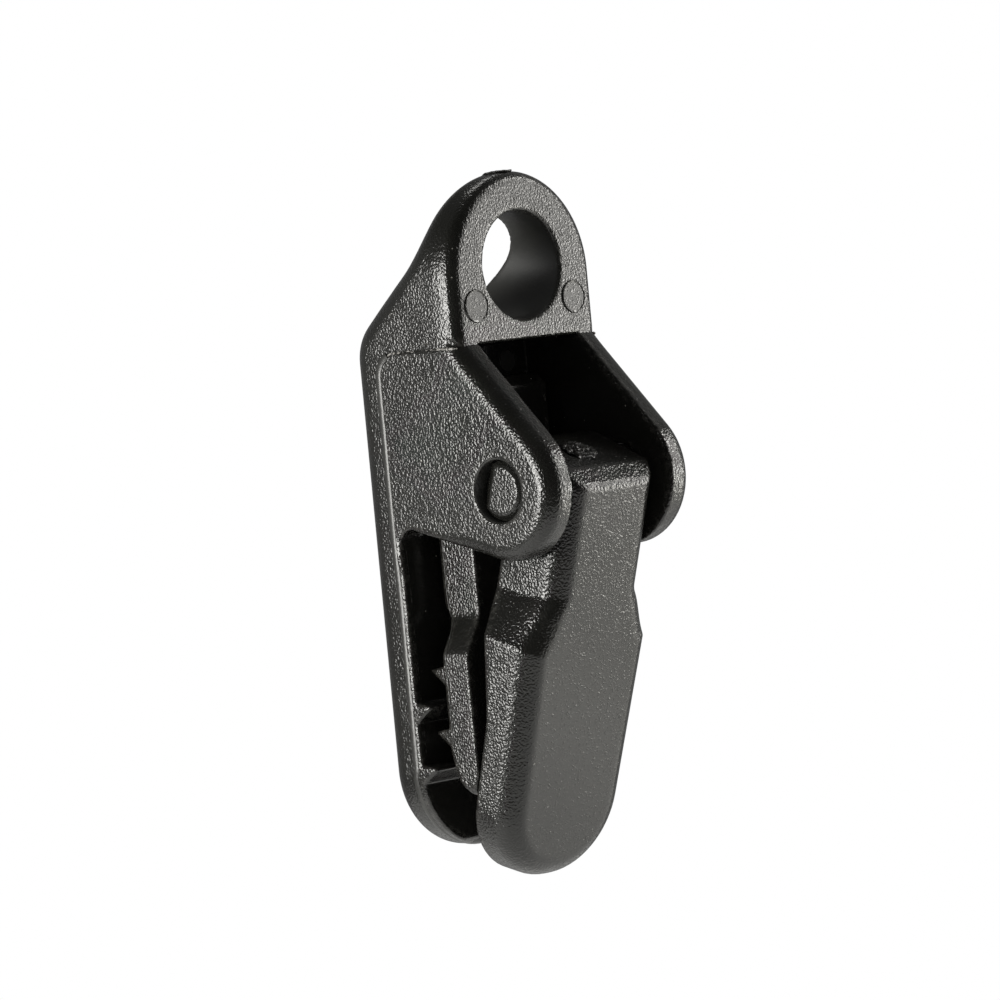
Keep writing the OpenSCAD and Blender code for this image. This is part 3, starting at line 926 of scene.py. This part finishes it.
@dataclass
class Lever(Moulding):
    """Thumb plate, cam and pivot stubs in one moulding, drawn upright around the pivot; sizes in millimetres."""

    pivot: Pair = PIVOT
    lean: float = LEAN
    front: float = 7.3
    reach: float = 48.0
    half: float = 10.9
    tip_half: float = 10.0
    neck_half: float = NECK_HALF
    plate: float = 5.75
    neck: float = 9.85
    shoulder_depth: float = 7.85
    top: float = 1.9
    top_rise: float = 1.65
    top_run: float = 2.3
    cam_low: float = -9.3
    neck_low: float = -12.6
    shoulder: float = 5.4
    shoulder_lift: float = 1.0
    taper: float = 10.0
    edge_round: float = 2.8
    back_edge: float = 0.55
    draft: float = 0.075
    neck_draft_cut: float = 0.7
    cam_round: float = 5.55
    cam_shift: float = 3.6
    stub_round: float = 3.6
    stub_half: float = 12.15
    stub_bevel: float = 0.8
    stub_edge: float = 0.12
    stub_fillet: float = 0.25
    ramp_back: float = 1.4
    ramp_angle: float = 40.0
    parting_depth: float = 0.75
    gate: Spot = ((-0.3, -6.9, -22.42), (0, -0.474, 0.88))

    @property
    def cam(self) -> Array:
        """Cam axis in the side view of the upright lever."""
        return self.cam_shift * heading(-self.lean)

    def touch(self, point: Array, side: int) -> Array:
        """Point where the tangent from an outer point touches the cam, on the given side."""
        away = point - self.cam
        angle = math.degrees(math.atan2(away[1], away[0]))
        spread = math.degrees(math.acos(self.cam_round / float(np.linalg.norm(away))))
        return self.cam + self.cam_round * heading(angle + side * spread)

    def side_outline(self) -> Array:
        """Side view of all that lies behind the thumb face, with the tangents to the cam."""
        ridge = np.array([self.top_run - self.front, self.top + self.top_rise])
        heel = np.array([self.neck - self.front, self.cam_low])
        low = self.neck_low - self.shoulder
        ahead, below = 40, 20
        fall = ahead * self.top_rise / self.top_run
        lower, upper = self.touch(heel, 1), self.touch(ridge, -1)
        return rounded_outline([
            (ridge[0] - ahead, ridge[1] - fall, 0),
            (ridge[0], ridge[1], 0.9),
            (upper[0], upper[1], 0),
            (lower[0], lower[1], 0),
            (heel[0], heel[1], 1.0),
            (self.neck - self.front, self.neck_low, 1.2),
            (self.shoulder_depth - self.front, low, 5.0),
            (self.plate - self.front, low - self.taper, 9.0),
            (self.plate - self.front, -self.reach - below, 0),
            (ridge[0] - ahead, -self.reach - below, 0),
        ])

    def face_outline(self) -> Array:
        """Front view of one half: round tip, thumb plate, shoulder and neck."""
        return rounded_outline([
            (-FAR, PAST, 0),
            (self.neck_half, PAST, 0),
            (self.neck_half, self.neck_low, 1.2),
            (self.half, self.neck_low - self.shoulder, 0.9),
            (self.tip_half, -self.reach, self.tip_half - 0.05),
            (-FAR, -self.reach, 0),
        ])

    def field(self, x: Array, y: Array, z: Array) -> Array:
        """Distance of points to the upright lever's surface in millimetres, negative inside."""
        wide = np.abs(x)
        on_neck = ramp(self.neck_low - self.shoulder, self.neck_low, z)
        # The shoulder starts a little higher at the thumb face than at the back
        lift = self.shoulder_lift * np.clip(self.plate - self.front - y, 0, None) / self.plate
        face = outline_distance(self.outlines["face"], wide, z - lift * on_neck)
        side = outline_distance(self.outlines["side"], y, z)
        side = np.minimum(side, np.hypot(y - self.cam[0], z - self.cam[1]) - self.cam_round)
        # The flanks draw in towards the thumb face, less so on the neck
        draft = self.draft * (1 - self.neck_draft_cut * on_neck)
        face = face - draft * np.minimum(y + self.front - self.plate, 0)
        shape = blunt(blunt(face, -self.front - y, self.edge_round), side, self.back_edge)
        round_wall, end = np.hypot(y, z) - self.stub_round, wide - self.stub_half
        bevel = (round_wall + end + self.stub_bevel) * math.sqrt(0.5)
        stub = blunt(np.maximum(round_wall, end), bevel, self.stub_edge)
        slope = math.radians(self.ramp_angle)
        ramp_face = (wide - self.stub_half) * math.cos(slope) + (y - self.ramp_back) * math.sin(slope)
        return fill(shape, blunt(stub, ramp_face, self.stub_edge), self.stub_fillet)

    def span(self) -> tuple[Point, Point]:
        """Lowest and highest corner of the space in which the field is drawn."""
        low = (-self.stub_half, -self.front - 1, -self.reach - 1)
        return low, (self.stub_half, self.cam_shift + self.cam_round + 1, self.cam_round + 1)

    def settle(self, points: Array) -> Array:
        """Lean the upright lever about its pivot, as it stands when it is closed."""
        turn = Matrix.Rotation(math.radians(self.lean), 3, "X")
        return points @ np.array(turn).T + np.array([0, *self.pivot])

    def grain(self, points: Array, normals: Array) -> Array:
        """Share of the full grain: the flat thumb face is nearly smooth, less so up on the neck."""
        face = ramp(0.8, 0.99, -normals[:, 1]) * (1 - ramp(0.08, 0.3, normals[:, 2]))
        back = ramp(0.5, 0.9, normals[:, 1])
        # The thumb face keeps a third of the grain at its tip and half of it on the neck
        cut = 0.87 - 0.17 * ramp(-26, -4, points[:, 2])
        return 1.2 - cut * face - 0.7 * back

    def flank_lines(self) -> list[Array]:
        """Parting line down each side of the neck."""
        heights = np.linspace(-6.5, self.neck_low + 2.2, 12)
        lines = [[(side * self.neck_half, self.parting_depth, z) for z in heights] for side in SIDES]
        return [self.settle(np.array(line)) for line in lines]


# Traces of the mould

@dataclass
class MouldTrace:
    """Small relief that a mould leaves on a moulding, grown with Geometry Nodes; sizes in millimetres.

    Args:
        name: Name of the finished piece.
        body: Body with which it moves.
        material: Its plastic.
        grain: Share of the full grain on it.
    """

    name: str
    body: str
    material: bpy.types.Material
    grain: float

    def base(self) -> bpy.types.Mesh | bpy.types.Curve:
        """Points or path on which the relief grows."""
        raise NotImplementedError

    def sizes(self) -> dict[str, float]:
        """Named sizes of the relief."""
        raise NotImplementedError

    def grow(self, tree: Tree, start: Socket, size: dict[str, Socket]) -> Socket:
        """Add the nodes of the relief.

        Args:
            tree: Tree that gets the nodes.
            start: Points or path.
            size: Socket of each named size.

        Returns:
            Geometry of the relief.
        """
        raise NotImplementedError

    def crumple(self, tree: Tree, shape: Socket, amount: Socket, pitch: float) -> Socket:
        """Push a shape's points about with a fixed noise.

        Args:
            tree: Tree that gets the nodes.
            shape: Geometry to crumple.
            amount: Largest push.
            pitch: Size of the noise.

        Returns:
            The crumpled geometry.
        """
        noise = wire(tree, "ShaderNodeTexNoise", {"Scale": 1 / (pitch * MM), "Detail": 2.0}, "Color")
        centred = wire(tree, "ShaderNodeVectorMath", {0: noise, 1: (0.5, 0.5, 0.5)}, operation="SUBTRACT")
        push = wire(tree, "ShaderNodeVectorMath", {0: centred, "Scale": amount}, operation="SCALE")
        return wire(tree, "GeometryNodeSetPosition", {"Geometry": shape, "Offset": push})

    def build(self) -> bpy.types.Object:
        """Grow the relief into a plain mesh.

        Returns:
            The finished object.
        """
        tree = bpy.data.node_groups.new(self.name, "GeometryNodeTree")
        tree.interface.new_socket("Geometry", in_out="INPUT", socket_type="NodeSocketGeometry")
        sockets = {name: tree.interface.new_socket(name, in_out="INPUT", socket_type="NodeSocketFloat")
                   for name in self.sizes()}
        tree.interface.new_socket("Geometry", in_out="OUTPUT", socket_type="NodeSocketGeometry")
        given = add_node(tree, "NodeGroupInput").outputs
        shape = self.grow(tree, given["Geometry"], {name: given[name] for name in sockets})
        shape = wire(tree, "GeometryNodeRealizeInstances", {"Geometry": shape})
        for key, value in (("grain", self.grain), ("wear", 1.0)):
            shape = wire(tree, "GeometryNodeStoreNamedAttribute", {"Geometry": shape, "Name": key, "Value": value},
                         data_type="FLOAT", domain="POINT")
        dressed = wire(tree, "GeometryNodeSetMaterial", {"Geometry": shape, "Material": self.material})
        add_node(tree, "NodeGroupOutput", None, {"Geometry": dressed})

        source = add_object(self.name + "_base", self.base())
        modifier = source.modifiers.new("grow", "NODES")
        modifier.node_group = tree
        for name, value in self.sizes().items():
            modifier[sockets[name].identifier] = value * MM
        graph = bpy.context.evaluated_depsgraph_get()
        mesh = bpy.data.meshes.new_from_object(source.evaluated_get(graph))
        source.modifiers.remove(modifier)
        bpy.data.objects.remove(source)
        mesh.name = self.name
        piece = add_object(self.name, mesh)
        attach(piece, self.body)
        LOG.info("%s: %d points, %d faces", self.name, len(mesh.vertices), len(mesh.polygons))
        return piece


@dataclass
class SpotTrace(MouldTrace):
    """Relief that repeats at spots, each with the direction in which it faces."""

    spots: list[Spot] = field(default_factory=list)

    def base(self) -> bpy.types.Mesh:
        """Loose points with their directions."""
        mesh = bpy.data.meshes.new(self.name + "_spots")
        mesh.from_pydata([[v * MM for v in place] for place, _ in self.spots], [], [])
        facing = mesh.attributes.new("facing", "FLOAT_VECTOR", "POINT")
        facing.data.foreach_set("vector", [v for _, direction in self.spots for v in direction])
        return mesh

    def stamp(self, tree: Tree, start: Socket, shape: Socket) -> Socket:
        """Put a copy of a shape on every spot, facing outwards.

        Args:
            tree: Tree that gets the nodes.
            start: The spots.
            shape: Geometry to copy.

        Returns:
            The copies.
        """
        facing = wire(tree, "GeometryNodeInputNamedAttribute", {"Name": "facing"}, "Attribute",
                      data_type="FLOAT_VECTOR")
        turn = wire(tree, "FunctionNodeAlignRotationToVector", {"Vector": facing}, axis="Z")
        return wire(tree, "GeometryNodeInstanceOnPoints", {"Points": start, "Instance": shape, "Rotation": turn})


@dataclass
class EjectorMarks(SpotTrace):
    """Round prints of the pins that push a moulding out: a bevelled rim around a shallow dish."""

    diameter: float = 4.0
    height: float = 0.2

    def sizes(self) -> dict[str, float]:
        """Radius and height of a print, and how far its middle is sunk."""
        return {"Radius": self.diameter / 2, "Height": self.height, "Dish": -self.height / 3}

    def grow(self, tree: Tree, start: Socket, size: dict[str, Socket]) -> Socket:
        """Raise a disc in a bevelled step, and sink its middle."""
        disc = wire(tree, "GeometryNodeMeshCircle", {"Vertices": 64, "Radius": size["Radius"]}, fill_type="NGON")
        shape, chosen = disc, {}
        for rise, shrink in (("Height", 0.94), ("Dish", 0.9)):
            raised = add_node(tree, "GeometryNodeExtrudeMesh", {"mode": "FACES"},
                              {"Mesh": shape, "Offset Scale": size[rise], **chosen}).outputs
            chosen = {"Selection": raised["Top"]}
            shape = wire(tree, "GeometryNodeScaleElements", {"Geometry": raised["Mesh"], "Scale": shrink, **chosen},
                         domain="FACE")
        under = wire(tree, "GeometryNodeFlipFaces", {"Mesh": disc})
        whole = wire(tree, "GeometryNodeJoinGeometry", {"Geometry": [shape, under]})
        closed = wire(tree, "GeometryNodeMergeByDistance", {"Geometry": whole, "Distance": 1e-6})
        return self.stamp(tree, start, closed)


@dataclass
class GateStubs(SpotTrace):
    """Torn stubs where the melt ran into the mould."""

    radius: float = 2.2
    flatness: float = 0.12
    tear: float = 0.8
    tear_pitch: float = 0.8

    def sizes(self) -> dict[str, float]:
        """Radius of a stub and depth of its tears."""
        return {"Radius": self.radius, "Tear": self.tear}

    def grow(self, tree: Tree, start: Socket, size: dict[str, Socket]) -> Socket:
        """Flatten a round blob onto each spot and tear its skin."""
        blob = wire(tree, "GeometryNodeMeshUVSphere", {"Segments": 40, "Rings": 20, "Radius": size["Radius"]})
        flat = wire(tree, "GeometryNodeTransform", {"Geometry": blob, "Scale": (1.0, 1.0, self.flatness)})
        real = wire(tree, "GeometryNodeRealizeInstances", {"Geometry": self.stamp(tree, start, flat)})
        return self.crumple(tree, real, size["Tear"], self.tear_pitch)


@dataclass
class PartingLines(MouldTrace):
    """Fine uneven bead where the halves of the mould meet, with scraps of flash."""

    paths: list[Array] = field(default_factory=list)
    bead: float = 1.0
    step: float = 0.2
    uneven: float = 0.06
    uneven_pitch: float = 0.5
    scraps: int = 30
    scrap_size: float = 0.15
    scrap_spread: Point = (1.2, 1.2, 2.4)
    seed: int = 4

    def base(self) -> bpy.types.Curve:
        """Paths as straight-sided curves."""
        curve = bpy.data.curves.new(self.name + "_paths", "CURVE")
        curve.dimensions = "3D"
        for path in self.paths:
            spline = curve.splines.new("POLY")
            spline.points.add(len(path) - 1)
            spline.points.foreach_set("co", np.column_stack([path * MM, np.ones(len(path))]).ravel())
        return curve

    def sizes(self) -> dict[str, float]:
        """Radius and unevenness of the bead, and size of the scraps."""
        return {"Bead": self.bead, "Uneven": self.uneven, "Scrap": self.scrap_size}

    def grow(self, tree: Tree, start: Socket, size: dict[str, Socket]) -> Socket:
        """Sweep the bead along the paths and strew scraps on it."""
        profile = wire(tree, "GeometryNodeCurvePrimitiveCircle", {"Resolution": 24, "Radius": size["Bead"]})
        fine = wire(tree, "GeometryNodeResampleCurve", {"Curve": start, "Length": self.step * MM}, mode="LENGTH")
        bead = wire(tree, "GeometryNodeCurveToMesh", {"Curve": fine, "Profile Curve": profile, "Fill Caps": True})
        spots = add_node(tree, "GeometryNodeCurveToPoints", {"mode": "COUNT"},
                         {"Curve": start, "Count": self.scraps}).outputs
        crumb = wire(tree, "GeometryNodeMeshIcoSphere", {"Radius": size["Scrap"], "Subdivisions": 2})
        spread = wire(tree, "FunctionNodeRandomValue",
                      {"Min": (0.0, 0.0, 0.0), "Max": self.scrap_spread, "Seed": self.seed}, "Value",
                      data_type="FLOAT_VECTOR")
        strewn = wire(tree, "GeometryNodeInstanceOnPoints",
                      {"Points": spots["Points"], "Instance": crumb, "Rotation": spots["Rotation"], "Scale": spread})
        whole = wire(tree, "GeometryNodeJoinGeometry", {"Geometry": [bead, strewn]})
        real = wire(tree, "GeometryNodeRealizeInstances", {"Geometry": whole})
        return self.crumple(tree, real, size["Uneven"], self.uneven_pitch)


# Stage

class Direction(Enum):
    """Directions from the clip in which the studio is built, in the frame of the solids."""

    CAMERA = (-0.723, -0.691, 0.0)
    KEY = (0.78, -0.62, 0.24)
    SPARK = (0.864, -0.499, -0.05)
    RISE = (0.74, -0.48, 0.47)
    LOW = (0.72, -0.58, -0.46)
    GLINT = (0.791, -0.554, -0.259)
    STRIP = (-0.95, 0.31, 0.04)
    TOP = (0.27, 0.26, 0.93)
    CARD = (0.72, 0.08, 0.69)


@dataclass(frozen=True)
class Lamp:
    """Soft box that faces the clip.

    Args:
        name: Name of the lamp.
        toward: Direction in which it stands.
        distance: Distance from the clip's middle in metres.
        size: Width and height in metres.
        level: Brightness of its face, where 1 is white.
        tint: Colour of its light.
    """

    name: str
    toward: Direction
    distance: float
    size: Pair
    level: float
    tint: str = "#fffefa"

    def build(self, centre: Vector) -> bpy.types.Object:
        """Place the lamp around the clip's middle."""
        data = bpy.data.lights.new(self.name, "AREA")
        data.shape = "RECTANGLE"
        data.size, data.size_y = self.size
        data.energy = self.level * math.pi * self.size[0] * self.size[1]
        data.color = to_linear(self.tint)[:3]
        lamp = add_object(self.name, data)
        away = Vector(self.toward.value).normalized()
        turn = away.to_track_quat("Z", "Y").to_matrix().to_4x4()
        lamp.matrix_world = Matrix.Translation(centre + away * self.distance) @ turn
        lamp.visible_camera = False
        return lamp


@dataclass
class Studio:
    """White room that is dark on the camera's side, with soft boxes to the right, one to the left and one on top."""

    centre: Vector
    camera_distance: float = 0.6
    pixels_per_mm: float = 8.43
    image: int = 1000
    azimuth: float = 46.3
    roll: float = 5.4
    aim: Point = (-3.58, 3.745, -27.56)
    room: Pair = (0.24, 0.015)
    ceiling: Pair = (1.0, 0.3)
    ambient: float = 0.4
    floor_level: float = -0.2
    floor_radius: float = 0.28
    floor_gloss: float = 0.25
    lamps: tuple[Lamp, ...] = (
        # Broad sheen on the eyelet's face and the thumb plate, with sparks in their grain and on edges that turn up
        Lamp("key_box", Direction.KEY, 0.5, (0.3, 0.4), 3.5, "#fffdf8"),
        Lamp("spark_box", Direction.SPARK, 0.45, (0.09, 0.09), 16.0, "#fffdf8"),
        Lamp("rise_box", Direction.RISE, 0.45, (0.07, 0.07), 20.0, "#fffdf8"),
        # Even tone down to the thumb plate's tip, and its single bright dots
        Lamp("low_box", Direction.LOW, 0.3, (0.34, 0.2), 1.2, "#fffdf4"),
        Lamp("glint_box", Direction.GLINT, 0.28, (0.05, 0.05), 16.0, "#fffdf4"),
        # Sparkle on the near flanks
        Lamp("strip_box", Direction.STRIP, 0.45, (0.18, 0.22), 22.0),
        # Light on what faces up
        Lamp("top_box", Direction.TOP, 0.4, (0.12, 0.12), 5.0),
        Lamp("ceiling_card", Direction.CARD, 0.5, (0.3, 0.3), 0.22),
    )

    def camera(self) -> bpy.types.Object:
        """Place the camera at the photograph's viewing angle.

        Returns:
            The camera, which is the scene's active one.
        """
        data = bpy.data.cameras.new("camera")
        data.sensor_width = 36.0
        width = self.image / self.pixels_per_mm * MM
        data.lens = data.sensor_width * self.camera_distance / width
        data.clip_start = 0.01
        turn = math.radians(self.azimuth)
        place = Vector((-math.sin(turn), -math.cos(turn), 0)) * self.camera_distance
        forward = (Vector(self.aim) * MM - place).normalized()
        level_right = forward.cross(Vector((0, 0, 1))).normalized()
        level_up = level_right.cross(forward)
        tilt = math.radians(self.roll)
        up = level_up * math.cos(tilt) + level_right * math.sin(tilt)
        right = forward.cross(up)
        rotation = Matrix((right, up, -forward)).transposed().to_4x4()
        camera = add_object("camera", data)
        camera.matrix_world = Matrix.Translation(place) @ rotation
        bpy.context.scene.camera = camera
        return camera

    def world(self) -> None:
        """Light the room: pale behind the clip, dark on the camera's side, white to the camera itself."""
        world = bpy.data.worlds.new("studio_room")
        bpy.context.scene.world = world
        tree = empty_tree(world)
        look = wire(tree, "ShaderNodeTexCoord", output="Generated")
        ahead = wire(tree, "ShaderNodeVectorMath", {0: look, 1: Direction.CAMERA.value}, "Value",
                     operation="DOT_PRODUCT")
        room = remap(tree, ahead, (0.0, 0.6), self.room, "SMOOTHSTEP")
        # The ceiling is darker than the walls
        height = wire(tree, "ShaderNodeSeparateXYZ", {0: look}, "Z")
        walls = calc(tree, "MULTIPLY", room, remap(tree, height, (0.15, 0.6), self.ceiling, "SMOOTHSTEP"))
        mirror, seen = ray_kinds(tree)
        around = wire(tree, "ShaderNodeMix", {"Factor": mirror, "A": self.ambient, "B": walls}, "Result",
                      data_type="FLOAT")
        level = calc(tree, "MAXIMUM", around, seen)
        light = wire(tree, "ShaderNodeBackground", {"Color": (1, 1, 1, 1), "Strength": level})
        add_node(tree, "ShaderNodeOutputWorld", None, {"Surface": light})

    def card(self) -> bpy.types.Material:
        """Matt white card of the floor, which turns into plain white towards its rim."""
        material = bpy.data.materials.new("matt_white_card")
        tree = empty_tree(material)
        place = wire(tree, "ShaderNodeTexCoord", output="Object")
        flat = wire(tree, "ShaderNodeVectorMath", {0: place, 1: (1, 1, 0)}, operation="MULTIPLY")
        away = wire(tree, "ShaderNodeVectorMath", {0: flat}, "Value", operation="LENGTH")
        fade = remap(tree, away, (0.03, self.floor_radius * 0.97), (0.6, 1.0), "SMOOTHSTEP")
        mirror, seen = ray_kinds(tree)
        share = calc(tree, "MULTIPLY", fade, calc(tree, "MULTIPLY_ADD", mirror, self.floor_gloss, seen))
        paper = wire(tree, "ShaderNodeBsdfDiffuse", {"Color": to_linear("#efefee")})
        white = wire(tree, "ShaderNodeEmission", {"Color": (1, 1, 1, 1), "Strength": 1.0})
        surface = wire(tree, "ShaderNodeMixShader", {0: share, 1: paper, 2: white})
        add_node(tree, "ShaderNodeOutputMaterial", None, {"Surface": surface})
        return material

    def floor(self) -> bpy.types.Object:
        """Lay a pale round floor below the hanging clip, which fades into the white room.

        Returns:
            The floor.
        """
        radius, rings, spokes = self.floor_radius, 24, 96
        turns = [2 * math.pi * spoke / spokes for spoke in range(spokes)]
        points = [(0.0, 0.0, self.floor_level)]
        for ring in range(1, rings + 1):
            points += [(math.cos(turn) * radius * ring / rings, math.sin(turn) * radius * ring / rings,
                        self.floor_level) for turn in turns]
        faces = [(0, 1 + k, 1 + (k + 1) % spokes) for k in range(spokes)]
        for ring in range(rings - 1):
            for k in range(spokes):
                a, b = 1 + ring * spokes + k, 1 + ring * spokes + (k + 1) % spokes
                faces.append((a, a + spokes, b + spokes, b))
        mesh = bpy.data.meshes.new("floor")
        mesh.from_pydata(points, [], faces)
        mesh.materials.append(self.card())
        floor = add_object("floor", mesh)
        return floor

    def build(self) -> None:
        """Set up camera, room, floor and lamps."""
        self.camera()
        self.world()
        self.floor()
        for lamp in self.lamps:
            lamp.build(self.centre)
        bpy.context.scene.view_settings.view_transform = "Standard"


def main() -> None:
    """Build the clip's pieces and the studio, and report each piece."""
    logging.basicConfig(level=logging.INFO, format="%(name)s: %(message)s")
    low, high = (Vector(corner) for corner in CAD_BOX)
    Studio(centre=(low + high) / 2).build()
    # The polished finish's greyer colour is painted sheen, not a colour of the plastic
    sparked, polished, torn = (finish.material() for finish in (SPARK_ERODED, CORE_POLISHED_PAINTED_SHEEN, TORN_FLASH))
    body = Body("clip_body", "body", "body", 0.32)
    jaw = ClampJaw("clip_jaw", "clamp_jaw", "clamp_jaw", 0.26)
    lever = Lever("clip_lever", "lever", "lever", 0.26)
    for moulding in (body, jaw, lever):
        moulding.build([sparked, polished])
    face_marks = body.front_spots(8.35, 0, -4.35)
    seat_marks = body.front_spots(5.3, body.seat_front, -11.4)
    traces = [
        EjectorMarks("eyelet_ejector_marks", "body", sparked, 0.4, face_marks),
        EjectorMarks("seat_ejector_marks", "body", polished, 0.2, seat_marks, diameter=2.6, height=0.12),
        PartingLines("body_parting_line", "body", polished, 0.3, body.flank_lines()),
        PartingLines("panel_seam_flash", "body", torn, 1.0, body.seam_lines(), bead=0.05, scraps=20,
                     scrap_size=0.2, seed=9),
        PartingLines("jaw_parting_line", "clamp_jaw", polished, 0.3, jaw.flank_lines(), bead=0.07, scraps=12, seed=2),
        PartingLines("lever_parting_line", "lever", polished, 0.3, lever.flank_lines(), bead=0.07, scraps=6, seed=7),
        GateStubs("eyelet_gate_stub", "body", polished, 1.0, [body.gate], radius=1.8, tear=0.35),
        GateStubs("lever_gate_stub", "lever", sparked, 0.5, [lever.gate], tear=1.2),
    ]
    for trace in traces:
        trace.build()


if __name__ == "__main__":
    main()
